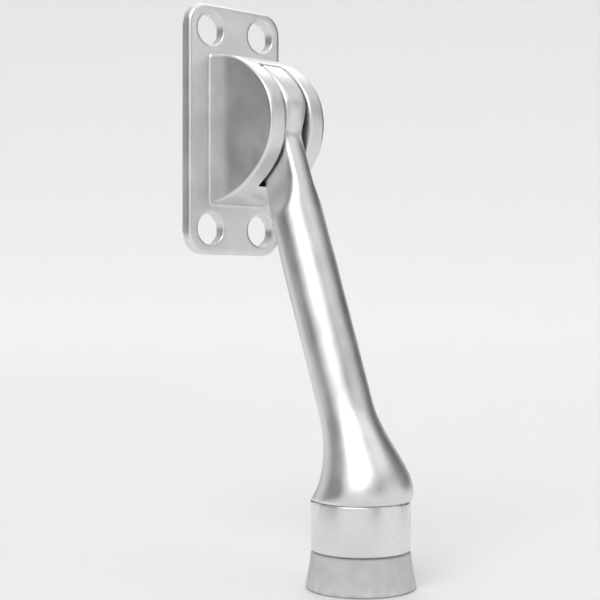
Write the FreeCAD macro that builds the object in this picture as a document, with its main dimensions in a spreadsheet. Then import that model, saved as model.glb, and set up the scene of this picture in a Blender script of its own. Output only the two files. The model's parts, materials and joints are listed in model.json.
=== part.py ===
"""Kick-down door holder: a bracket that screws to a door, and a hinged arm with a rubber foot.

The origin is the middle of the bracket's back face, which lies on the door. +Z is up, +Y goes
into the door, and the holder stands out along -Y. Lengths are in millimetres. The arm is stored
kicked down on its stop, where it leans out from the door by arm_lean. Raised, it leans out by the
same angle, because the bracket is the same above and below the pivot.

Four frames are used. Bracket pieces have the origin's own frame. Pivot pieces have their origin
at the middle of the pivot. Arm pieces have it there too, but with the shaft along their -Z. Foot
pieces are upright, with their origin at the middle of the ferrule's top.
"""
import FreeCAD, Part
import os
import Sketcher

SIZES = {
    # Bracket
    "plate_width": 26.4,
    "plate_height": 57.0,
    "plate_thickness": 2.9,
    "plate_corner": 4.8,
    "plate_edge_round": 0.9,
    "screw_hole_dia": 7.2,
    "screw_spacing_wide": 14.4,
    "screw_spacing_high": 45.4,
    "ear_depth": 22.25,
    "ear_half_height": 16.9,
    "ear_front_radius": 13.0,
    "ear_thickness": 4.15,
    "ear_edge_round": 0.6,
    "arm_gap": 7.0,
    # Pivot, with its depth measured from the plate's front face
    "pivot_depth": 13.9,
    "pin_dia": 5.0,
    "pin_seat_clearance": 0.01,
    "pin_run_clearance": 0.05,
    "pin_end_wall": 1.5,
    "pin_end_gap": 0.2,
    "pin_chamfer": 0.4,
    "washer_dia": 10.0,
    "washer_thickness": 0.4,
    "side_clearance": 0.05,
    # Arm
    "arm_lean": 20.9,
    "arm_length": 84.8,
    "shaft_dia": 11.64,
    "head_track_gap": 0.3,
    "head_edge_round": 0.8,
    "waist_inset": 0.5,
    "waist_top": 1.5,
    "waist_bottom": 4.5,
    "cone_overrun": 1.0,
    "neck_length": 6.0,
    "flat_length": 13.4,
    "flat_runout": 9.0,
    "flat_overrun": 0.4,
    "stop_clearance": 0.05,
    "flare_length": 18.8,
    "flare_bulge": 2.3,
    "foot_setback": 2.42,
    # Detent ball, in the tail of the arm's head
    "track_plate_gap": 0.3,
    "ball_dia": 3.5,
    "ball_clearance": 0.05,
    "ball_seat_gap": 0.02,
    "notch_depth": 0.6,
    "detent_floor": 5.2,
    "spring_clearance": 0.2,
    "spring_wire": 0.45,
    "spring_turns": 7.0,
    # Foot
    "ferrule_dia": 20.8,
    "ferrule_height": 10.2,
    "ferrule_edge_round": 0.4,
    "spigot_dia": 14.9,
    "spigot_length": 7.7,
    "socket_clearance": 0.05,
    "rubber_height": 7.8,
    "rubber_top_dia": 20.6,
    "rubber_sole_dia": 23.2,
    "rubber_side_radius": 30.0,
    "rubber_edge_round": 0.6,
    "rubber_boss_gap": 0.3,
    "counterbore_dia": 9.8,
    "counterbore_depth": 5.0,
    "foot_screw_dia": 4.0,
    "foot_screw_length": 13.0,
    "foot_screw_chamfer": 0.4,
    "foot_screw_clearance": 0.15,
    "foot_screw_tip_room": 1.5,
    "thread_clearance": 0.05,
    "screw_head_dia": 7.6,
    "screw_head_height": 2.5,
    "screw_head_crown": 5.0,
    "recess_span": 4.4,
    "recess_slot": 1.1,
    "recess_depth": 1.5,
    "foot_washer_dia": 9.0,
    "foot_washer_thickness": 0.8,
}

# Sizes that follow from the ones above. Each may use those before it.
DERIVED = {
    "lean": "arm_lean * 1 deg",
    "bracket_half": "arm_gap / 2 + ear_thickness",
    "front_centre": "ear_depth - ear_front_radius",
    "flank_excess": "ear_half_height - ear_front_radius",
    "flank_drop": "(front_centre ^ 2 - flank_excess ^ 2) / (2 * flank_excess)",
    "flank_radius": "ear_half_height + flank_drop",
    "flank_join": "ear_front_radius / (flank_radius - ear_front_radius)",
    "join_out": "front_centre * (1 + flank_join)",
    "join_up": "flank_drop * flank_join",
    "pivot_y": "-(plate_thickness + pivot_depth)",
    "shaft_radius": "shaft_dia / 2",
    "track_radius": "pivot_depth - track_plate_gap",
    "head_radius": "track_radius - head_track_gap",
    "head_half": "arm_gap / 2 - washer_thickness - 2 * side_clearance",
    "stop_offset": "shaft_radius + stop_clearance",
    "waist_half": "shaft_radius - waist_inset",
    "flank_x": "(pivot_depth - front_centre) * cos(lean)",
    "flank_y": "(pivot_depth - front_centre) * sin(lean)",
    "shoulder_half": "sqrt(ear_front_radius ^ 2 - (waist_top - flank_y) ^ 2) - flank_x",
    "waist_rise": "shoulder_half - waist_half",
    "waist_radius": "((waist_top + waist_bottom) ^ 2 + waist_rise ^ 2) / (2 * waist_rise)",
    "stop_reach": "sqrt(track_radius ^ 2 - stop_offset ^ 2)",
    "ball_radius": "ball_dia / 2",
    "ball_centre": "track_radius - ball_seat_gap - ball_radius",
    "foot_y": "pivot_y - arm_length * sin(lean) + foot_setback * cos(lean)",
    "foot_z": "-(arm_length * cos(lean) + foot_setback * sin(lean))",
    "sole": "ferrule_height + rubber_height",
    "counterbore_roof": "sole - counterbore_depth",
    "screw_seat": "counterbore_roof + foot_washer_thickness",
    "screw_hole_radius": "foot_screw_dia / 2 + foot_screw_clearance",
}

ORIGIN = (-1, 1)
START, END, CENTRE = 1, 2, 3
FAR = "80"
FLARE_STEPS = 6
# Where the flare's curve has its two inner points: its length below each, as a share of the whole.
FLARE_SHARES = (0.58, 0.14)
LEAN_AXIS = FreeCAD.Vector(-1, 0, 0)
FOOT_AXIS = FreeCAD.Vector(1, 0, 0)

doc = FreeCAD.newDocument("door_holder")
sheet = doc.addObject("Spreadsheet::Sheet", "dims")
for row, (alias, value) in enumerate(SIZES.items(), start=1):
    sheet.set(f"A{row}", alias)
    sheet.set(f"B{row}", str(value))
    sheet.setAlias(f"B{row}", alias)
doc.recompute()


# ---------------------------------------------------------------- expressions and sketches

def spelled_out(expression):
    """The expression with each derived size written out and each sheet size found in the sheet."""
    text = ""
    word = ""
    for letter in str(expression) + " ":
        if letter.isalnum() or letter == "_":
            word += letter
            continue
        if word in DERIVED:
            word = "(" + spelled_out(DERIVED[word]) + ")"
        elif word in SIZES:
            word = "dims." + word
        text += word + letter
        word = ""
    return text.strip()


def size(expression):
    """The expression's value, in millimetres or degrees."""
    value = sheet.evalExpression(spelled_out(expression))
    return float(getattr(value, "Value", value))


def bind(thing, path, expression):
    thing.setExpression(path, spelled_out(expression))


def point(x, y):
    return FreeCAD.Vector(size(x), size(y), 0)


def new_body(name):
    body = doc.addObject("PartDesign::Body", name)
    body.Label = name
    return body


def new_sketch(body, name, plane, at=("0", "0", "0"), turn=None):
    """A sketch on one of the body's origin planes, moved and turned within that plane's frame."""
    sketch = body.newObject("Sketcher::SketchObject", name)
    support = [feature for feature in body.Origin.OriginFeatures if feature.Role == plane][0]
    sketch.AttachmentSupport = [(support, "")]
    sketch.MapMode = "FlatFace"
    axis, angle = turn or (FreeCAD.Vector(0, 0, 1), "0")
    offset = FreeCAD.Vector(*[size(value) for value in at])
    sketch.AttachmentOffset = FreeCAD.Placement(offset, FreeCAD.Rotation(axis, size(angle)))
    for letter, value in zip("xyz", at):
        bind(sketch, f".AttachmentOffset.Base.{letter}", value)
    if turn:
        bind(sketch, ".AttachmentOffset.Rotation.Angle", angle)
    return sketch


def pin_point(sketch, geometry, place, x, y):
    """Holds a point of the sketch at x, y."""
    for kind, value in (("DistanceX", x), ("DistanceY", y)):
        constraint = Sketcher.Constraint(kind, *ORIGIN, geometry, place, size(value))
        bind(sketch, f"Constraints[{sketch.addConstraint(constraint)}]", value)


def set_radius(sketch, geometry, radius):
    constraint = Sketcher.Constraint("Radius", geometry, size(radius))
    bind(sketch, f"Constraints[{sketch.addConstraint(constraint)}]", radius)


def circle(sketch, x, y, radius):
    shape = Part.Circle(point(x, y), FreeCAD.Vector(0, 0, 1), size(radius))
    geometry = sketch.addGeometry(shape, False)
    pin_point(sketch, geometry, CENTRE, x, y)
    set_radius(sketch, geometry, radius)


def arc_between(start, end, radius, bend):
    """The shorter arc from start to end. Its centre is left of the way there if bend is +1."""
    chord = end - start
    across = FreeCAD.Vector(-chord.y, chord.x, 0).normalize()
    height = (radius ** 2 - (chord.Length / 2) ** 2) ** 0.5
    centre = (start + end) / 2 + across * height * bend
    middle = centre - across * radius * bend
    return Part.Arc(start, middle, end)


def outline(sketch, corners, arcs=None):
    """A closed outline through the corners, whose side after corner i is arcs[i] if it has one.

    An arc is (radius, bend): bend is +1 if its centre lies left of the way round, else -1.
    """
    arcs = arcs or {}
    spots = [point(x, y) for x, y in corners]
    sides = []
    for i, start in enumerate(spots):
        end = spots[(i + 1) % len(spots)]
        if i in arcs:
            radius, bend = arcs[i]
            sides.append(sketch.addGeometry(arc_between(start, end, size(radius), bend), False))
        else:
            sides.append(sketch.addGeometry(Part.LineSegment(start, end), False))
    # A sketch stores every arc anticlockwise, so one that bends right is held end first.
    ends = [(END, START) if i in arcs and arcs[i][1] < 0 else (START, END) for i in range(len(sides))]
    for i, side in enumerate(sides):
        after = (i + 1) % len(sides)
        joint = Sketcher.Constraint("Coincident", side, ends[i][1], sides[after], ends[after][0])
        sketch.addConstraint(joint)
    for i, (x, y) in enumerate(corners):
        pin_point(sketch, sides[i], ends[i][0], x, y)
    for i, (radius, bend) in arcs.items():
        set_radius(sketch, sides[i], radius)


# ---------------------------------------------------------------- features

def pad(body, name, sketch, length, both_ways=False, backwards=False):
    feature = body.newObject("PartDesign::Pad", name)
    return extrude(feature, sketch, length, both_ways, backwards)


def pocket(body, name, sketch, length, both_ways=False, backwards=False):
    before = body.Shape.Volume
    feature = body.newObject("PartDesign::Pocket", name)
    extrude(feature, sketch, length, both_ways, backwards)
    if not feature.Shape.Volume < before:
        raise ValueError(f"{name} cuts nothing")
    return feature


def extrude(feature, sketch, length, both_ways, backwards):
    feature.Profile = sketch
    feature.SideType = "Symmetric" if both_ways else "One side"
    feature.Reversed = backwards
    bind(feature, "Length", length)
    doc.recompute()
    return feature


def revolve(body, name, sketch):
    """Turns the sketch once round its own vertical axis."""
    feature = body.newObject("PartDesign::Revolution", name)
    feature.Profile = sketch
    feature.ReferenceAxis = (sketch, ["V_Axis"])
    feature.Angle = 360
    doc.recompute()
    return feature


def dress(body, kind, name, amount, chosen):
    """Rounds or chamfers the edges that chosen(edge) picks."""
    base = body.Tip
    edges = [f"Edge{i}" for i, edge in enumerate(base.Shape.Edges, start=1) if chosen(edge)]
    feature = body.newObject(f"PartDesign::{kind}", name)
    feature.Base = (base, edges)
    bind(feature, "Radius" if kind == "Fillet" else "Size", amount)
    doc.recompute()
    return feature


def near(value, expression, slack=0.01):
    return abs(value - size(expression)) < slack


def on_pivot(body):
    bind(body, "Placement.Base.y", "pivot_y")


def on_arm(body):
    body.Placement = FreeCAD.Placement(FreeCAD.Vector(), FreeCAD.Rotation(LEAN_AXIS, size("lean")))
    bind(body, "Placement.Base.y", "pivot_y")
    bind(body, "Placement.Rotation.Angle", "lean")


def on_foot(body):
    bind(body, "Placement.Base.y", "foot_y")
    bind(body, "Placement.Base.z", "foot_z")


# ---------------------------------------------------------------- bracket

def ear_outline(sketch):
    """The D of an ear, with the plate's front face at x = 0 and the door on its +x side."""
    corners = [
        ("0", "-ear_half_height"),
        ("0", "ear_half_height"),
        ("-join_out", "join_up"),
        ("-join_out", "-join_up"),
    ]
    outline(sketch, corners, {
        1: ("flank_radius", 1),
        2: ("ear_front_radius", 1),
        3: ("flank_radius", 1),
    })


def stop_corner(along, side):
    """A point on a stop face: along from the pivot, below it if side is -1, above it if +1."""
    x = f"-(pivot_depth + ({along}) * sin(lean) - stop_offset * cos(lean))"
    y = f"{side} * (({along}) * cos(lean) + stop_offset * sin(lean))"
    return x, y


def make_bracket():
    body = new_body("bracket")
    sketch = new_sketch(body, "plate_outline", "XZ_Plane")
    wide, high = "plate_width / 2", "plate_height / 2"
    corners = [
        (f"-{wide}", f"-{high}"),
        (wide, f"-{high}"),
        (wide, high),
        (f"-{wide}", high),
    ]
    outline(sketch, corners)
    pad(body, "plate", sketch, "plate_thickness")
    dress(body, "Fillet", "plate_corners", "plate_corner",
          lambda edge: edge.BoundBox.YLength > size("plate_thickness / 2"))
    dress(body, "Fillet", "plate_front_edge", "plate_edge_round",
          lambda edge: near(edge.BoundBox.YMax, "-plate_thickness"))

    sketch = new_sketch(body, "ear_outline", "YZ_Plane", at=("-plate_thickness", "0", "0"))
    ear_outline(sketch)
    pad(body, "ears", sketch, "2 * bracket_half", both_ways=True)
    ear_root = size("-(plate_thickness + ear_edge_round)")
    dress(body, "Fillet", "ear_edges", "ear_edge_round",
          lambda edge: near(edge.BoundBox.XLength, "0") and edge.CenterOfMass.y < ear_root)

    # The arm's gap: a round track behind the pivot, open to the front between two stop faces.
    sketch = new_sketch(body, "gap_outline", "YZ_Plane", at=("-plate_thickness", "0", "0"))
    corners = [
        stop_corner("stop_reach", -1),
        stop_corner(FAR, -1),
        stop_corner(FAR, 1),
        stop_corner("stop_reach", 1),
        ("-(pivot_depth - track_radius)", "0"),
    ]
    outline(sketch, corners, {3: ("track_radius", -1), 4: ("track_radius", -1)})
    pocket(body, "gap", sketch, "arm_gap", both_ways=True)

    sketch = new_sketch(body, "screw_circles", "XZ_Plane", at=("0", "0", "plate_thickness"))
    for across in ("-screw_spacing_wide / 2", "screw_spacing_wide / 2"):
        for up in ("-screw_spacing_high / 2", "screw_spacing_high / 2"):
            circle(sketch, across, up, "screw_hole_dia / 2")
    pocket(body, "screw_holes", sketch, "plate_thickness")

    # The pin's hole goes in from the right ear and stops short of the left ear's outer face.
    pin_hole_end = ("pivot_y", "0", "-(bracket_half - pin_end_wall)")
    sketch = new_sketch(body, "pin_circle", "YZ_Plane", at=pin_hole_end)
    circle(sketch, "0", "0", "pin_dia / 2 + pin_seat_clearance")
    pocket(body, "pin_hole", sketch, "2 * bracket_half", backwards=True)

    # A dimple in the track for the ball at each end of the arm's swing.
    reach = "(ball_centre + ball_seat_gap + notch_depth)"
    for name, side in (("lowered", 1), ("raised", -1)):
        dimple = (f"pivot_y + {reach} * sin(lean)", f"{side} * {reach} * cos(lean)", "0")
        sketch = new_sketch(body, f"{name}_notch_arc", "YZ_Plane", at=dimple)
        half_ball(sketch, "ball_radius + ball_clearance")
        notch = body.newObject("PartDesign::Groove", f"{name}_notch")
        notch.Profile = sketch
        notch.ReferenceAxis = (sketch, ["V_Axis"])
        notch.Angle = 360
        doc.recompute()
    return body


def half_ball(sketch, radius):
    """Half a disc on the +x side of the sketch's vertical axis."""
    corners = [("0", f"-({radius})"), (radius, "0"), ("0", radius)]
    outline(sketch, corners, {0: (radius, 1), 1: (radius, 1)})


# ---------------------------------------------------------------- pivot

def make_pivot_pin():
    body = new_body("pivot_pin")
    on_pivot(body)
    blind_end = "bracket_half - pin_end_wall - pin_end_gap"
    sketch = new_sketch(body, "pin_circle", "YZ_Plane", at=("0", "0", f"-({blind_end})"))
    circle(sketch, "0", "0", "pin_dia / 2")
    pad(body, "pin", sketch, f"{blind_end} + bracket_half - pin_end_gap")
    dress(body, "Chamfer", "pin_ends", "pin_chamfer", lambda edge: near(edge.BoundBox.XLength, "0"))
    return body


def make_side_washer(name, side):
    """A washer between the arm's head and an ear, on the left if side is -1."""
    body = new_body(name)
    on_pivot(body)
    middle = f"{side} * (head_half + side_clearance + washer_thickness / 2)"
    sketch = new_sketch(body, "washer_circles", "YZ_Plane", at=("0", "0", middle))
    circle(sketch, "0", "0", "washer_dia / 2")
    circle(sketch, "0", "0", "pin_dia / 2 + pin_run_clearance")
    pad(body, "washer", sketch, "washer_thickness", both_ways=True)
    return body


# ---------------------------------------------------------------- arm

def trim_outside(body, name, sketch, draw):
    """Cuts away what lies outside the outline that draw(sketch) draws."""
    edge = FAR
    corners = [(f"-{edge}", f"-{edge}"), (edge, f"-{edge}"), (edge, edge), (f"-{edge}", edge)]
    outline(sketch, corners)
    draw(sketch)
    pocket(body, name, sketch, FAR, both_ways=True)


def make_arm():
    body = new_body("arm")
    on_arm(body)

    # The head fills the ears' outline both lowered and raised, and clears the track behind it.
    down = new_sketch(body, "lowered_outline", "YZ_Plane", turn=(FreeCAD.Vector(0, 0, 1), "lean"),
                      at=("pivot_depth * cos(lean)", "pivot_depth * sin(lean)", "0"))
    ear_outline(down)
    pad(body, "head", down, "2 * head_half", both_ways=True)
    sketch = new_sketch(body, "track_trim", "YZ_Plane")
    trim_outside(body, "head_back", sketch, lambda target: circle(target, "0", "0", "head_radius"))
    sketch = new_sketch(body, "raised_outline", "YZ_Plane",
                        turn=(FreeCAD.Vector(0, 0, 1), "180 deg - lean"),
                        at=("-pivot_depth * cos(lean)", "pivot_depth * sin(lean)", "0"))
    trim_outside(body, "head_front", sketch, ear_outline)

    # Hollow waists narrow the head into the shaft, from where its flanks are widest.
    for name, side in (("front", -1), ("back", 1)):
        sketch = new_sketch(body, f"{name}_waist_outline", "YZ_Plane")
        corners = [
            (f"{side} * waist_half", f"-{FAR}"),
            (f"{side} * waist_half", "-waist_bottom"),
            (f"{side} * shoulder_half", "waist_top"),
            (f"{side} * {FAR}", "waist_top"),
            (f"{side} * {FAR}", f"-{FAR}"),
        ]
        outline(sketch, corners, {1: ("waist_radius", side)})
        pocket(body, f"{name}_waist", sketch, FAR, both_ways=True)
    sketch = new_sketch(body, "neck_end", "YZ_Plane")
    corners = [(f"-{FAR}", f"-{FAR}"), (FAR, f"-{FAR}"), (FAR, "-neck_length"), (f"-{FAR}", "-neck_length")]
    outline(sketch, corners)
    pocket(body, "neck", sketch, FAR, both_ways=True)
    dress(body, "Fillet", "head_edges", "head_edge_round",
          lambda edge: near(edge.BoundBox.XLength, "0") and edge.CenterOfMass.z > size("waist_top"))

    # The round shaft starts as a cone within the head.
    sketch = new_sketch(body, "shaft_outline", "XZ_Plane")
    corners = [
        ("0", "-(arm_length - flare_length)"),
        ("shaft_radius", "-(arm_length - flare_length)"),
        ("shaft_radius", "-(waist_bottom + cone_overrun)"),
        ("0", "0"),
    ]
    outline(sketch, corners)
    revolve(body, "shaft", sketch)

    # Flats let the shaft pass between the ears, then run out onto its round sides.
    rise = "(shaft_radius + flat_overrun - head_half)"
    runout_radius = f"(flat_runout ^ 2 + {rise} ^ 2) / (2 * {rise})"
    for name, side in (("left", -1), ("right", 1)):
        sketch = new_sketch(body, f"{name}_flat_outline", "XZ_Plane")
        corners = [
            (f"{side} * head_half", FAR),
            (f"{side} * head_half", "-flat_length"),
            (f"{side} * (shaft_radius + flat_overrun)", "-(flat_length + flat_runout)"),
            (f"{side} * {FAR}", "-(flat_length + flat_runout)"),
            (f"{side} * {FAR}", FAR),
        ]
        outline(sketch, corners, {1: (runout_radius, side)})
        pocket(body, f"{name}_flat", sketch, FAR, both_ways=True)

    make_flare(body)

    sketch = new_sketch(body, "pin_circle", "YZ_Plane")
    circle(sketch, "0", "0", "pin_dia / 2 + pin_run_clearance")
    pocket(body, "pin_bore", sketch, FAR, both_ways=True)
    sketch = new_sketch(body, "detent_circle", "XY_Plane", at=("0", "0", "detent_floor"))
    circle(sketch, "0", "0", "ball_radius + ball_clearance")
    pocket(body, "detent_bore", sketch, FAR, backwards=True)
    return body


def make_flare(body):
    """The shaft swells and turns upright to meet the ferrule, along a cubic curve."""
    curve = [
        ("0", "-(arm_length - flare_length)"),
        ("0", f"-(arm_length - {FLARE_SHARES[0]} * flare_length)"),
        ("-flare_bulge", f"-(arm_length - {FLARE_SHARES[1]} * flare_length)"),
        ("foot_setback", "-arm_length"),
    ]
    sections = []
    for step in range(FLARE_STEPS + 1):
        way = step / FLARE_STEPS
        shares = [(1 - way) ** 3, 3 * way * (1 - way) ** 2, 3 * way ** 2 * (1 - way), way ** 3]
        across, up = [" + ".join(f"{share:.6f} * ({spot[axis]})" for share, spot in zip(shares, curve))
                      for axis in (0, 1)]
        swell = way ** 2 * (3 - 2 * way)
        sketch = new_sketch(body, f"flare_circle_{step}", "XY_Plane", at=("0", across, up),
                            turn=(FOOT_AXIS, f"{way:.6f} * lean"))
        circle(sketch, "0", "0", f"shaft_radius + {swell:.6f} * (ferrule_dia / 2 - shaft_radius)")
        sections.append(sketch)
    flare = body.newObject("PartDesign::AdditiveLoft", "flare")
    flare.Profile = sections[0]
    flare.Sections = sections[1:]
    doc.recompute()

    upright = (FOOT_AXIS, "lean")
    ferrule_top = ("0", "foot_setback", "-arm_length")
    sketch = new_sketch(body, "spigot_circle", "XY_Plane", at=ferrule_top, turn=upright)
    circle(sketch, "0", "0", "spigot_dia / 2")
    pad(body, "spigot", sketch, "spigot_length", backwards=True)
    below = ("spigot_length * sin(lean)", "spigot_length * cos(lean)")
    spigot_end = ("0", f"foot_setback + {below[0]}", f"-(arm_length + {below[1]})")
    sketch = new_sketch(body, "thread_circle", "XY_Plane", at=spigot_end, turn=upright)
    circle(sketch, "0", "0", "foot_screw_dia / 2 + thread_clearance")
    depth = "spigot_length - (screw_seat - foot_screw_length) + foot_screw_tip_room"
    pocket(body, "thread_hole", sketch, depth, backwards=True)


# ---------------------------------------------------------------- detent

def make_detent_ball():
    body = new_body("detent_ball")
    on_arm(body)
    sketch = new_sketch(body, "ball_arc", "XZ_Plane", at=("0", "ball_centre", "0"))
    half_ball(sketch, "ball_radius")
    revolve(body, "ball", sketch)
    return body


def make_detent_spring():
    body = new_body("detent_spring")
    on_arm(body)
    coil = "(ball_radius - spring_clearance - spring_wire / 2)"
    sketch = new_sketch(body, "wire_circle", "XZ_Plane", at=("0", "detent_floor + spring_wire / 2", "0"))
    circle(sketch, coil, "0", "spring_wire / 2")
    rise = "(ball_centre - ball_radius - detent_floor - spring_wire)"
    spring = body.newObject("PartDesign::AdditiveHelix", "coil")
    spring.Profile = sketch
    spring.ReferenceAxis = (sketch, ["V_Axis"])
    spring.Mode = "pitch-height-angle"
    bind(spring, "Height", rise)
    bind(spring, "Pitch", f"{rise} / spring_turns")
    doc.recompute()
    return body


# ---------------------------------------------------------------- foot

def make_ferrule():
    body = new_body("ferrule")
    on_foot(body)
    sketch = new_sketch(body, "ring_outline", "XZ_Plane")
    inner = "spigot_dia / 2 + socket_clearance"
    outer = "ferrule_dia / 2"
    corners = [(inner, "-ferrule_height"), (outer, "-ferrule_height"), (outer, "0"), (inner, "0")]
    outline(sketch, corners)
    revolve(body, "ring", sketch)
    dress(body, "Fillet", "ring_edges", "ferrule_edge_round",
          lambda edge: near(edge.BoundBox.XMax, outer) and near(edge.BoundBox.ZLength, "0"))
    return body


def make_rubber_foot():
    body = new_body("rubber_foot")
    on_foot(body)
    sketch = new_sketch(body, "rubber_outline", "XZ_Plane")
    boss = "spigot_dia / 2"
    boss_top = "-(spigot_length + rubber_boss_gap)"
    corners = [
        ("screw_hole_radius", "-counterbore_roof"),
        ("counterbore_dia / 2", "-counterbore_roof"),
        ("counterbore_dia / 2", "-sole"),
        ("rubber_sole_dia / 2", "-sole"),
        ("rubber_top_dia / 2", "-ferrule_height"),
        (boss, "-ferrule_height"),
        (boss, boss_top),
        ("screw_hole_radius", boss_top),
    ]
    outline(sketch, corners, {3: ("rubber_side_radius", -1)})
    revolve(body, "rubber", sketch)
    dress(body, "Fillet", "sole_edges", "rubber_edge_round",
          lambda edge: near(edge.BoundBox.ZMax, "-sole") and near(edge.BoundBox.ZLength, "0"))
    return body


def make_foot_washer():
    body = new_body("foot_washer")
    on_foot(body)
    sketch = new_sketch(body, "washer_circles", "XY_Plane", at=("0", "0", "-screw_seat"))
    circle(sketch, "0", "0", "foot_washer_dia / 2")
    circle(sketch, "0", "0", "screw_hole_radius")
    pad(body, "washer", sketch, "foot_washer_thickness")
    return body


def make_foot_screw():
    """A pan-headed screw, head down, with a cross recess."""
    body = new_body("foot_screw")
    on_foot(body)
    sketch = new_sketch(body, "screw_outline", "XZ_Plane")
    head = "screw_head_dia / 2"
    crown_drop = f"(screw_head_crown - sqrt(screw_head_crown ^ 2 - ({head}) ^ 2))"
    bottom = "screw_seat + screw_head_height"
    corners = [
        ("0", f"-({bottom})"),
        (head, f"-({bottom} - {crown_drop})"),
        (head, "-screw_seat"),
        ("foot_screw_dia / 2", "-screw_seat"),
        ("foot_screw_dia / 2", "-(screw_seat - foot_screw_length)"),
        ("0", "-(screw_seat - foot_screw_length)"),
    ]
    outline(sketch, corners, {0: ("screw_head_crown", 1)})
    revolve(body, "screw", sketch)
    dress(body, "Chamfer", "screw_tip", "foot_screw_chamfer",
          lambda edge: near(edge.BoundBox.ZMin, "-(screw_seat - foot_screw_length)"))
    sketch = new_sketch(body, "recess_outline", "XY_Plane", at=("0", "0", f"-({bottom})"))
    span, slot = "recess_span / 2", "recess_slot / 2"
    corners = []
    for quarter in range(4):
        for x, y in ((span, f"-{slot}"), (span, slot), (slot, slot)):
            for turn in range(quarter):
                x, y = f"-({y})", x
            corners.append((x, y))
    outline(sketch, corners)
    pocket(body, "recess", sketch, "recess_depth", backwards=True)
    return body


# ---------------------------------------------------------------- assembly

pieces = [
    make_bracket(),
    make_pivot_pin(),
    make_side_washer("side_washer_left", -1),
    make_side_washer("side_washer_right", 1),
    make_arm(),
    make_detent_ball(),
    make_detent_spring(),
    make_ferrule(),
    make_rubber_foot(),
    make_foot_washer(),
    make_foot_screw(),
]
doc.recompute()

for item in doc.Objects:
    if {"Invalid", "Error"} & set(item.State):
        raise ValueError(f"{item.Name} failed: {item.State}")
for piece in pieces:
    if piece.Shape.isNull() or not piece.Shape.isValid() or len(piece.Shape.Solids) != 1:
        raise ValueError(f"{piece.Label} isn't one valid solid")

os.makedirs("parts", exist_ok=True)
for piece in pieces:
    piece.Shape.exportStep(f"parts/{piece.Label}.step")
    box = piece.Shape.BoundBox
    spans = ((box.XMin, box.XMax), (box.YMin, box.YMax), (box.ZMin, box.ZMax))
    sides = "  ".join(f"{low:7.2f} {high:7.2f}" for low, high in spans)
    print(f"{piece.Label:18} {piece.Shape.Volume:9.1f} mm3  {sides}")
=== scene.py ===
"""Kick-down door holder, for Blender: its looks, around the CAD frame. Lengths are in metres.

The castings are fine skins over their CAD solids, softened as castings are. The ferrule and the
rubber tip are lathed from profiles. Places and most outer sizes come from the frame's boxes and
joints. The tip's top radius, the bores, roundings and grooves are named where they're used.
"""
import json
import math
import bpy
import bmesh
import numpy as np
from mathutils import Matrix, Vector, noise


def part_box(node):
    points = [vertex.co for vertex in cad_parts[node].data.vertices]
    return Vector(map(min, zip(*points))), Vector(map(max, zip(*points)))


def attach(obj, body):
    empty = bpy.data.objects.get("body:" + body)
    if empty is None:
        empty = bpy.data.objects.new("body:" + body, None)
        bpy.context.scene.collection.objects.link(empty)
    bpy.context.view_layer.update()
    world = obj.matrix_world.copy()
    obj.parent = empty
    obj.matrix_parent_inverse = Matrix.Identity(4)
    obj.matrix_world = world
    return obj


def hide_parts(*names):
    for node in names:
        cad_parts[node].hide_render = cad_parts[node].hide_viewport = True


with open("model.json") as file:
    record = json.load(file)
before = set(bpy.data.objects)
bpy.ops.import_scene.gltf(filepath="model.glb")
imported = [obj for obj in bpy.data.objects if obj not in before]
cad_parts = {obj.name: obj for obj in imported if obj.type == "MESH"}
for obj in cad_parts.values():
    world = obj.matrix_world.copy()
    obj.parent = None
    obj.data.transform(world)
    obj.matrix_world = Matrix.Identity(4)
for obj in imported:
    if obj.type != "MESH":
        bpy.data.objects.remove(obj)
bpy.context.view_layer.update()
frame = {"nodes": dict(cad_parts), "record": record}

MM = 0.001
CASTING_VOXEL = 0.30 * MM
CREASE_ANGLE = 35
ON_AXIS = 1e-7
SCENE = bpy.context.scene
LOW, HIGH = 0, 1


def middle(node):
    """The middle of a CAD node's box."""
    low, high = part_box(node)
    return (Vector(low) + Vector(high)) / 2


SOLE_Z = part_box("rubber_foot")[LOW][2]
FOOT = middle("ferrule")
PIVOT = Vector(frame["record"]["behaviour"]["joints"][0]["pos_m"])
DETENT_AXIS = Vector(frame["record"]["behaviour"]["joints"][1]["axis"])


# ---------------------------------------------------------------- mesh helpers

def new_object(name, mesh):
    """Puts a mesh into the scene as a new object."""
    obj = bpy.data.objects.new(name, mesh)
    SCENE.collection.objects.link(obj)
    return obj


def settle(obj):
    """Applies the modifiers to the mesh."""
    shaped = obj.evaluated_get(bpy.context.evaluated_depsgraph_get())
    mesh = bpy.data.meshes.new_from_object(shaped)
    obj.modifiers.clear()
    obj.data = mesh
    return obj


def shade_smooth(obj, angle=None):
    """Shades all faces smooth, apart from edges sharper than angle in degrees, if it is given."""
    for face in obj.data.polygons:
        face.use_smooth = True
    if angle is not None:
        obj.data.set_sharp_from_angle(angle=math.radians(angle))


def dress(obj, body, slot, *materials):
    """Gives a piece its body and its materials. The slot argument is not used."""
    obj.data.materials.clear()
    for material in materials:
        obj.data.materials.append(material)
    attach(obj, body)
    return obj


def displace(obj, offset):
    """Moves each point along its normal by offset(place). The normals are all read first."""
    vertices = obj.data.vertices
    normals = [vertex.normal.copy() for vertex in vertices]
    for vertex, normal in zip(vertices, normals):
        vertex.co += normal * offset(vertex.co)


def keep_inside(obj, node):
    """Holds a piece inside the box of the CAD node that it stands for."""
    low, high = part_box(node)
    for vertex in obj.data.vertices:
        for axis in range(3):
            vertex.co[axis] = min(max(vertex.co[axis], low[axis]), high[axis])


def ramp(value, start, end):
    """Rises smoothly from 0 at start to 1 at end."""
    way = min(max((value - start) / (end - start), 0), 1)
    return way * way * (3 - 2 * way)


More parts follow.
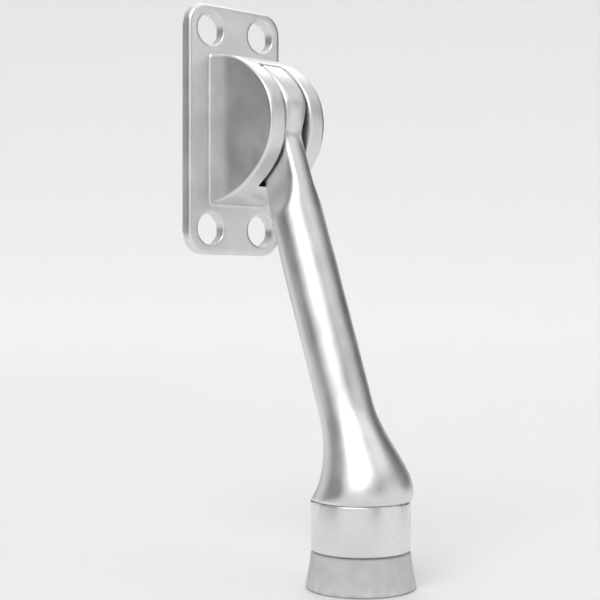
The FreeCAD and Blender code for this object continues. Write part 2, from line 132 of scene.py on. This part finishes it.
def blend_region(obj, share, passes):
    """Smooths the region where share(place) is above 0, by that share."""
    group = obj.vertex_groups.new(name="blend")
    for vertex in obj.data.vertices:
        weight = share(vertex.co)
        if weight > 0:
            group.add([vertex.index], weight, "REPLACE")
    smooth = obj.modifiers.new("blend", "SMOOTH")
    smooth.factor = 0.5
    smooth.iterations = passes
    smooth.vertex_group = "blend"
    settle(obj)
    shade_smooth(obj)


def mark_edges(obj):
    """Stores how far each point stands out from its neighbours, in voxels, for wear on edges."""
    evening_rounds = 8
    mesh = obj.data
    count = len(mesh.vertices)
    places = np.empty(count * 3)
    mesh.vertices.foreach_get("co", places)
    places = places.reshape(-1, 3)
    normals = np.empty(count * 3)
    mesh.vertices.foreach_get("normal", normals)
    normals = normals.reshape(-1, 3)
    ends = np.empty(len(mesh.edges) * 2, dtype=np.int32)
    mesh.edges.foreach_get("vertices", ends)
    first, second = ends[0::2], ends[1::2]
    degree = np.bincount(first, minlength=count) + np.bincount(second, minlength=count)

    def around(values):
        sums = np.bincount(first, values[second], count) + np.bincount(second, values[first], count)
        return sums / degree

    middles = np.stack([around(places[:, axis]) for axis in range(3)], axis=1)
    stands_out = ((places - middles) * normals).sum(axis=1) / CASTING_VOXEL
    for _ in range(evening_rounds):
        stands_out = (stands_out + around(stands_out)) / 2
    attribute = mesh.attributes.new("stands_out", "FLOAT", "POINT")
    attribute.data.foreach_set("value", stands_out)


def skin(node, name, passes):
    """A softened copy of a CAD node: an even skin of small faces, smoothed a few times."""
    obj = new_object(name, frame["nodes"][node].data.copy())
    remesh = obj.modifiers.new("skin", "REMESH")
    remesh.mode = "VOXEL"
    remesh.voxel_size = CASTING_VOXEL
    smooth = obj.modifiers.new("soften", "SMOOTH")
    smooth.factor = 0.5
    smooth.iterations = passes
    settle(obj)
    shade_smooth(obj)
    return obj


def rounded(corners, steps=5):
    """A profile through corners (radius, height, rounding), with an arc at each rounded one."""
    points = []
    for i, (r, z, fillet) in enumerate(corners):
        here = Vector((r, z))
        if fillet == 0:
            points.append(here)
            continue
        before = Vector(corners[i - 1][:2]) - here
        after = Vector(corners[(i + 1) % len(corners)][:2]) - here
        half = before.angle(after) / 2
        reach = fillet / math.tan(half)
        start = here + before.normalized() * reach
        inward = (before.normalized() + after.normalized()).normalized()
        centre = here + inward * fillet / math.sin(half)
        swing = (start - centre).angle_signed(here + after.normalized() * reach - centre)
        for step in range(steps + 1):
            turn = Matrix.Rotation(-swing * step / steps, 2)
            points.append(centre + turn @ (start - centre))
    return points


def lathe(name, profile, centre, segments=160, closed=True):
    """Turns a profile of (radius, height) points round an upright axis through centre.

    Only an open profile may touch the axis, and only at its first point.
    """
    mesh = bmesh.new()
    rings = []
    for r, z in profile:
        if r < ON_AXIS:
            rings.append([mesh.verts.new((0, 0, z))])
            continue
        ring = []
        for i in range(segments):
            angle = 2 * math.pi * i / segments
            ring.append(mesh.verts.new((r * math.cos(angle), r * math.sin(angle), z)))
        rings.append(ring)
    pairs = list(zip(rings, rings[1:]))
    if closed:
        pairs.append((rings[-1], rings[0]))
    for a, b in pairs:
        for i in range(segments):
            j = (i + 1) % segments
            if len(a) > 1:
                mesh.faces.new((a[i], a[j], b[j], b[i]))
            else:
                mesh.faces.new((a[0], b[j], b[i]))
    bmesh.ops.recalc_face_normals(mesh, faces=mesh.faces)
    mesh.transform(Matrix.Translation(centre))
    data = bpy.data.meshes.new(name)
    mesh.to_mesh(data)
    mesh.free()
    obj = new_object(name, data)
    shade_smooth(obj, CREASE_ANGLE)
    return obj


# ---------------------------------------------------------------- materials

class Finish:
    """A Principled material, built node by node, in the piece's own coordinates."""

    def __init__(self, name, colour, metallic, roughness):
        self.material = bpy.data.materials.new(name)
        self.material.use_nodes = True
        self.tree = self.material.node_tree
        self.shader = self.tree.nodes["Principled BSDF"]
        self.shader.inputs["Base Color"].default_value = (*colour, 1)
        self.shader.inputs["Metallic"].default_value = metallic
        self.shader.inputs["Roughness"].default_value = roughness
        self.place = self.tree.nodes.new("ShaderNodeTexCoord").outputs["Object"]
        self.normal = None

    def node(self, kind, **inputs):
        """Adds a node and feeds the inputs that are named, with _ for a space."""
        made = self.tree.nodes.new(kind)
        for key, value in inputs.items():
            self.feed(made.inputs[key.replace("_", " ")], value)
        return made

    def feed(self, socket, value):
        """Links another node's socket, or sets a constant."""
        if isinstance(value, bpy.types.NodeSocket):
            self.tree.links.new(value, socket)
        else:
            socket.default_value = value

    def noise(self, grain, detail=4.0, roughness=0.55, place=None):
        """Noise whose grains are about that many metres across."""
        made = self.node("ShaderNodeTexNoise", Vector=place or self.place, Scale=1 / grain,
                         Detail=detail, Roughness=roughness)
        return made.outputs["Fac"]

    def stretched(self, x, y, z):
        """The piece's own coordinates, scaled along each axis."""
        made = self.node("ShaderNodeMapping", Vector=self.place)
        made.inputs["Scale"].default_value = (x, y, z)
        return made.outputs["Vector"]

    def remap(self, value, low, high, out_low=0.0, out_high=1.0):
        """Spreads the range from low to high over the range from out_low to out_high."""
        made = self.node("ShaderNodeMapRange", Value=value, From_Min=low, From_Max=high,
                         To_Min=out_low, To_Max=out_high)
        return made.outputs["Result"]

    def math(self, operation, a, b=0.0):
        made = self.tree.nodes.new("ShaderNodeMath")
        made.operation = operation
        self.feed(made.inputs[0], a)
        self.feed(made.inputs[1], b)
        return made.outputs[0]

    def mix(self, share, a, b):
        made = self.tree.nodes.new("ShaderNodeMix")
        made.data_type = "RGBA"
        self.feed(made.inputs["Factor"], share)
        for socket, colour in (("A", a), ("B", b)):
            target = [s for s in made.inputs if s.name == socket and s.type == "RGBA"][0]
            self.feed(target, colour if isinstance(colour, bpy.types.NodeSocket) else (*colour, 1))
        return [s for s in made.outputs if s.type == "RGBA"][0]

    def worn_edges(self, low, high):
        """From 0 on flats and in hollows to 1 on the sharpest outer edges."""
        pointed = self.tree.nodes.new("ShaderNodeNewGeometry").outputs["Pointiness"]
        return self.remap(pointed, low, high)

    def marked_edges(self, low, high):
        """From 0 on flats and in hollows to 1 on the sharpest edges, as mark_edges stored them."""
        made = self.tree.nodes.new("ShaderNodeAttribute")
        made.attribute_name = "stands_out"
        return self.remap(made.outputs["Fac"], low, high)

    def bump(self, height, depth):
        """Adds relief: height from 0 to 1 stands for depth in metres."""
        made = self.node("ShaderNodeBump", Height=height, Distance=depth, Strength=1.0)
        if self.normal:
            self.tree.links.new(self.normal, made.inputs["Normal"])
        self.normal = made.outputs["Normal"]

    def colour(self, value):
        self.feed(self.shader.inputs["Base Color"], value)

    def roughness(self, value):
        self.feed(self.shader.inputs["Roughness"], value)

    def done(self):
        if self.normal:
            self.tree.links.new(self.normal, self.shader.inputs["Normal"])
        return self.material


def cast_metal(name):
    """Satin cast aluminium: finely blasted, a little uneven, and brighter where it is rubbed."""
    dark, pale, rubbed = (0.71, 0.71, 0.705), (0.80, 0.80, 0.795), (0.93, 0.93, 0.925)
    rubbed_smooth = 0.10
    finish = Finish(name, colour=(0.76, 0.76, 0.755), metallic=1.0, roughness=0.36)
    grain = finish.noise(0.35 * MM, detail=3.0)
    blotch = finish.noise(7 * MM, detail=5.0)
    worn = finish.marked_edges(0.035, 0.11)
    dull = finish.mix(finish.remap(blotch, 0.35, 0.65), dark, pale)
    finish.colour(finish.mix(worn, dull, rubbed))
    base = finish.remap(blotch, 0.3, 0.7, 0.33, 0.42)
    finish.roughness(finish.math("SUBTRACT", base, finish.math("MULTIPLY", worn, rubbed_smooth)))
    finish.bump(grain, depth=0.012 * MM)
    finish.bump(blotch, depth=0.05 * MM)
    return finish.done()


def ground_metal(name):
    """The plate's back, ground flat, with fine straight scratches."""
    dark, pale = (0.66, 0.66, 0.66), (0.82, 0.82, 0.82)
    finish = Finish(name, colour=(0.78, 0.78, 0.78), metallic=1.0, roughness=0.42)
    lines = finish.noise(0.12 * MM, detail=2.0, place=finish.stretched(0.02, 1.0, 1.0))
    patches = finish.noise(9 * MM, detail=3.0)
    finish.colour(finish.mix(patches, dark, pale))
    finish.roughness(finish.remap(lines, 0.3, 0.7, 0.34, 0.5))
    finish.bump(lines, depth=0.01 * MM)
    return finish.done()


def turned_metal(name):
    """Aluminium turned on a lathe, with fine rings round the band."""
    plain_band, rubbed = (0.80, 0.80, 0.80), (0.93, 0.93, 0.93)
    finish = Finish(name, colour=(0.83, 0.83, 0.83), metallic=1.0, roughness=0.28)
    rings = finish.noise(0.1 * MM, detail=2.0, place=finish.stretched(0.0, 0.0, 1.0))
    smears = finish.noise(5 * MM, detail=4.0)
    worn = finish.worn_edges(0.52, 0.62)
    finish.colour(finish.mix(worn, plain_band, rubbed))
    finish.roughness(finish.math("ADD", finish.remap(rings, 0.3, 0.7, 0.20, 0.30),
                                 finish.remap(smears, 0.35, 0.7, 0.0, 0.08)))
    finish.bump(rings, depth=0.006 * MM)
    return finish.done()


def foot_rubber(name):
    """Matte grey moulded rubber, finely pitted, with dust near the sole."""
    dark, pale, dust = (0.43, 0.43, 0.43), (0.50, 0.50, 0.50), (0.60, 0.59, 0.57)
    dust_top = SOLE_Z + 2.2 * MM
    finish = Finish(name, colour=(0.46, 0.46, 0.46), metallic=0.0, roughness=0.72)
    mottle = finish.noise(2.2 * MM, detail=5.0)
    pits = finish.noise(0.25 * MM, detail=2.0)
    height = finish.node("ShaderNodeSeparateXYZ", Vector=finish.place)
    low = finish.remap(height.outputs["Z"], SOLE_Z, dust_top, 1.0, 0.0)
    dusty = finish.math("MULTIPLY", low, finish.remap(mottle, 0.4, 0.65))
    rubber = finish.mix(finish.remap(mottle, 0.3, 0.7), dark, pale)
    finish.colour(finish.mix(dusty, rubber, dust))
    finish.roughness(finish.remap(mottle, 0.3, 0.7, 0.64, 0.82))
    finish.shader.inputs["Specular IOR Level"].default_value = 0.4
    finish.bump(mottle, depth=0.05 * MM)
    finish.bump(pits, depth=0.02 * MM)
    return finish.done()


def steel(name, colour, low, high, grain):
    """Plain steel, its roughness varying from low to high over grains of that size."""
    darkening = 0.86
    darker = tuple(darkening * c for c in colour)
    finish = Finish(name, colour, metallic=1.0, roughness=low)
    spots = finish.noise(grain, detail=4.0)
    finish.colour(finish.mix(finish.remap(spots, 0.35, 0.65, 0.0, 1.0), darker, colour))
    finish.roughness(finish.remap(spots, 0.3, 0.7, low, high))
    finish.bump(spots, depth=0.0015 * MM)
    return finish.done()


CAST = cast_metal("cast_metal")
GROUND = ground_metal("ground_metal")
TURNED = turned_metal("turned_metal")
RUBBER = foot_rubber("foot_rubber")
PIN_STEEL = steel("pin_steel", (0.62, 0.62, 0.64), low=0.22, high=0.36, grain=0.6 * MM)
BRONZE = steel("washer_bronze", (0.62, 0.43, 0.22), low=0.28, high=0.42, grain=1.2 * MM)
BALL_STEEL = steel("ball_steel", (0.75, 0.75, 0.77), low=0.06, high=0.12, grain=1.0 * MM)
SPRING_STEEL = steel("spring_steel", (0.50, 0.50, 0.52), low=0.25, high=0.38, grain=0.4 * MM)
ZINC = steel("plated_steel", (0.66, 0.66, 0.68), low=0.2, high=0.34, grain=0.5 * MM)


# ---------------------------------------------------------------- castings

def clear_ball(obj):
    """Keeps both dimples open for the detent ball, out as far as it travels."""
    clearance = 0.05 * MM
    low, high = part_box("detent_ball")
    room = (high[0] - low[0]) / 2 + clearance
    travel = frame["record"]["behaviour"]["joints"][1]["range_m"][HIGH]
    lowered = middle("detent_ball") + DETENT_AXIS * travel
    raised = Vector((lowered.x, lowered.y, 2 * PIVOT.z - lowered.z))
    for centre in (lowered, raised):
        for vertex in obj.data.vertices:
            reach = vertex.co - centre
            if reach.length < room:
                vertex.co = centre + reach.normalized() * room


def make_bracket():
    """The bracket's skin. Its back is ground flat, with two shallow ejector marks."""
    smoothing_passes = 3
    wave_height, wave_length = 0.02 * MM, 5 * MM
    back_band = 0.3 * MM
    mark_radius, mark_depth, mark_edge, mark_height = 2.0 * MM, 0.15 * MM, 0.3 * MM, 12 * MM
    faces_back = 0.9
    obj = skin("bracket", "bracket_casting", smoothing_passes)
    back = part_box("bracket")[HIGH][1]
    near_back = back - back_band

    def wave(place):
        return wave_height * noise.noise(place / wave_length) if place.y < near_back else 0

    displace(obj, wave)
    for vertex in obj.data.vertices:
        place = vertex.co
        if place.y < near_back:
            continue
        sunk = 0
        for up in (-mark_height, mark_height):
            inside = mark_radius - math.hypot(place.x, place.z - up)
            sunk += mark_depth * min(max(inside / mark_edge, 0), 1)
        place.y = min(place.y, back) - sunk
    keep_inside(obj, "bracket")
    clear_ball(obj)
    mark_edges(obj)
    dress(obj, "bracket", "cast_metal", CAST, GROUND)
    faces = obj.data.polygons
    ground = [int(face.normal.y > faces_back and face.center.y > near_back) for face in faces]
    faces.foreach_set("material_index", ground)
    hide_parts("bracket")


def neck_share(place):
    """1 on the neck, where the head flows into the shaft, and 0 on the head's bearing faces."""
    bearing_radius, bearing_blend = 3.2 * MM, 4.5 * MM
    neck_start, neck_full, neck_fading, neck_end = -2 * MM, 2 * MM, 26 * MM, 34 * MM
    reach = place - PIVOT
    along = -reach.dot(DETENT_AXIS)
    from_pin = math.hypot(reach.y, reach.z)
    clear_of_pin = ramp(from_pin, bearing_radius, bearing_blend)
    return clear_of_pin * ramp(along, neck_start, neck_full) * (1 - ramp(along, neck_fading, neck_end))


def make_arm():
    """The arm's skin, blended at the neck, with the slight waviness of a casting."""
    smoothing_passes, neck_passes = 4, 150
    wave_height, wave_length = 0.03 * MM, 6 * MM
    obj = skin("arm", "arm_casting", smoothing_passes)
    blend_region(obj, neck_share, neck_passes)
    displace(obj, lambda place: wave_height * noise.noise(place / wave_length))
    keep_inside(obj, "arm")
    mark_edges(obj)
    dress(obj, "arm", "cast_metal", CAST)
    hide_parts("arm")


# ---------------------------------------------------------------- foot

def make_ferrule():
    """A plain ring, slightly smaller at its lower rim, with all its rims rounded."""
    bore = 7.5 * MM
    taper = 0.1 * MM
    bore_round, lower_round, upper_round = 0.2 * MM, 0.45 * MM, 0.35 * MM
    low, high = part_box("ferrule")
    outer = (high[0] - low[0]) / 2
    profile = rounded([
        (bore, low[2], bore_round),
        (outer - taper, low[2], lower_round),
        (outer, high[2], upper_round),
        (bore, high[2], bore_round),
    ])
    obj = lathe("ferrule_ring", profile, Vector((FOOT.x, FOOT.y, 0)))
    dress(obj, "arm", "turned_metal", TURNED)
    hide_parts("ferrule")


def make_rubber():
    """The flared tip: a spigot inside the ferrule, two grooves in the sole and a screw counterbore."""
    screw_hole, spigot, counterbore, top_radius = 2.2 * MM, 7.4 * MM, 4.9 * MM, 10.3 * MM
    counterbore_depth = 5 * MM
    hole_round, rim_round, counterbore_round = 0.2 * MM, 0.3 * MM, 0.4 * MM
    sole_corner, sole_bulge = 0.5 * MM, 0.12 * MM
    groove_radii = (9.6 * MM, 7.4 * MM)
    groove_mouth, groove_floor, groove_depth, groove_round = 0.5 * MM, 0.3 * MM, 0.5 * MM, 0.08 * MM
    flare_steps, flare_power = 12, 1.35
    arc_steps, segments = 4, 192
    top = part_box("ferrule")[LOW][2]
    low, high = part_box("rubber_foot")
    sole_radius = (high[0] - low[0]) / 2 + sole_bulge

    side = []
    for step in range(flare_steps + 1):
        way = step / flare_steps
        radius = top_radius + (sole_radius - top_radius) * way ** flare_power
        side.append((radius, top + (low[2] - top) * way))

    head = [
        (screw_hole, high[2], hole_round),
        (spigot, high[2], rim_round),
        (spigot, top, 0),
        (*side[0], rim_round),
    ]
    sole = [(*side[-2], 0), (sole_radius, low[2], sole_corner)]
    for groove in groove_radii:
        sole += [
            (groove + groove_mouth, low[2], groove_round),
            (groove + groove_floor, low[2] + groove_depth, groove_round),
            (groove - groove_floor, low[2] + groove_depth, groove_round),
            (groove - groove_mouth, low[2], groove_round),
        ]
    sole += [
        (counterbore, low[2], counterbore_round),
        (counterbore, low[2] + counterbore_depth, rim_round),
        (screw_hole, low[2] + counterbore_depth, 0),
    ]
    profile = rounded(head, arc_steps)[:-1]
    profile += [Vector(point) for point in side[1:-1]]
    profile += rounded(sole, arc_steps)[1:]
    obj = lathe("rubber_tip", profile, Vector((FOOT.x, FOOT.y, 0)), segments)
    dress(obj, "arm", "foot_rubber", RUBBER)
    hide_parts("rubber_foot")


# ---------------------------------------------------------------- CAD nodes that stay

def keep(node, material):
    """Gives a CAD node that stays as it is its material."""
    obj = frame["nodes"][node]
    obj.data.materials.clear()
    obj.data.materials.append(material)


# ---------------------------------------------------------------- stage, light and camera

def make_studio():
    """A pale round studio: a floor that curves up into a wall all round."""
    radius, bend, wall = 3.2, 1.3, 3.0
    floor = radius - bend
    steps = 16
    paint = 0.66
    profile = [Vector((0, 0)), Vector((floor, 0))]
    for step in range(1, steps + 1):
        angle = math.pi / 2 * step / steps
        profile.append(Vector((floor + bend * math.sin(angle), bend - bend * math.cos(angle))))
    profile.append(Vector((radius, wall)))
    obj = lathe("studio", profile, Vector((0, FOOT.y, SOLE_Z)), closed=False)
    obj.data.materials.append(plain("studio_paint", paint))
    obj.visible_shadow = False


def plain(name, grey):
    """A matt grey paint."""
    roughness = 0.9
    material = bpy.data.materials.new(name)
    material.use_nodes = True
    shader = material.node_tree.nodes["Principled BSDF"]
    shader.inputs["Base Color"].default_value = (grey, grey, grey, 1)
    shader.inputs["Roughness"].default_value = roughness
    return material


def aimed(obj, place, target):
    """Puts an object at place, with its -Z pointing at target."""
    obj.location = place
    obj.rotation_euler = (Vector(target) - Vector(place)).to_track_quat("-Z", "Y").to_euler()


def flag(name, place, target, size):
    """A black card that only reflections see, which draws the metal's edges."""
    black = 0.01
    mesh = bmesh.new()
    bmesh.ops.create_grid(mesh, x_segments=1, y_segments=1, size=0.5)
    mesh.transform(Matrix.Diagonal((*size, 1, 1)))
    data = bpy.data.meshes.new(name)
    mesh.to_mesh(data)
    mesh.free()
    obj = new_object(name, data)
    aimed(obj, place, target)
    obj.visible_camera = False
    obj.visible_diffuse = False
    obj.visible_shadow = False
    data.materials.append(plain(name, black))


def sun(name, place, target, angle, strength):
    """A broad soft light far away, so that every part of the studio is lit alike."""
    data = bpy.data.lights.new(name, "SUN")
    data.angle = math.radians(angle)
    data.energy = strength
    light = bpy.data.objects.new(name, data)
    aimed(light, place, target)
    SCENE.collection.objects.link(light)


def make_light():
    """Three broad suns, five black cards round the holder, and an even white sky."""
    target = (0, -0.03, -0.04)
    sun("key", (-0.55, -0.30, 0.60), target, angle=40, strength=1.5)
    sun("fill", (0.35, -0.65, 0.35), target, angle=60, strength=0.5)
    sun("rim", (0.45, 0.5, 0.6), target, angle=40, strength=0.9)
    flag("flag_right", (0.55, -0.15, 0.0), target, size=(0.5, 0.9))
    flag("flag_front", (-0.10, -0.62, -0.05), target, size=(0.16, 0.9))
    flag("flag_left", (-0.62, 0.20, -0.05), target, size=(0.35, 0.9))
    flag("flag_back", (0.25, 0.60, -0.05), target, size=(0.25, 0.9))
    flag("flag_back_left", (-0.45, 0.50, 0.10), target, size=(0.2, 0.9))
    world = bpy.data.worlds.new("world")
    SCENE.world = world
    world.use_nodes = True
    sky = world.node_tree.nodes["Background"]
    sky.inputs["Color"].default_value = (1, 1, 1, 1)
    sky.inputs["Strength"].default_value = 0.75
    SCENE.view_settings.view_transform = "Standard"


def make_camera():
    """A level camera in front of the holder and to its left."""
    data = bpy.data.cameras.new("camera")
    data.sensor_width = 36.0
    data.lens = 77.4
    data.clip_start = 0.01
    data.clip_end = 20.0
    camera = bpy.data.objects.new("camera", data)
    camera.location = (-0.1828, -0.2388, -0.0389)
    camera.rotation_euler = (math.radians(90.0), 0.0, math.radians(-40.6))
    SCENE.collection.objects.link(camera)
    SCENE.camera = camera


make_bracket()
make_arm()
make_ferrule()
make_rubber()
keep("pivot_pin", PIN_STEEL)
keep("side_washer_left", BRONZE)
keep("side_washer_right", BRONZE)
keep("detent_ball", BALL_STEEL)
keep("detent_spring", SPRING_STEEL)
keep("foot_washer", ZINC)
keep("foot_screw", ZINC)
make_studio()
make_light()
make_camera()
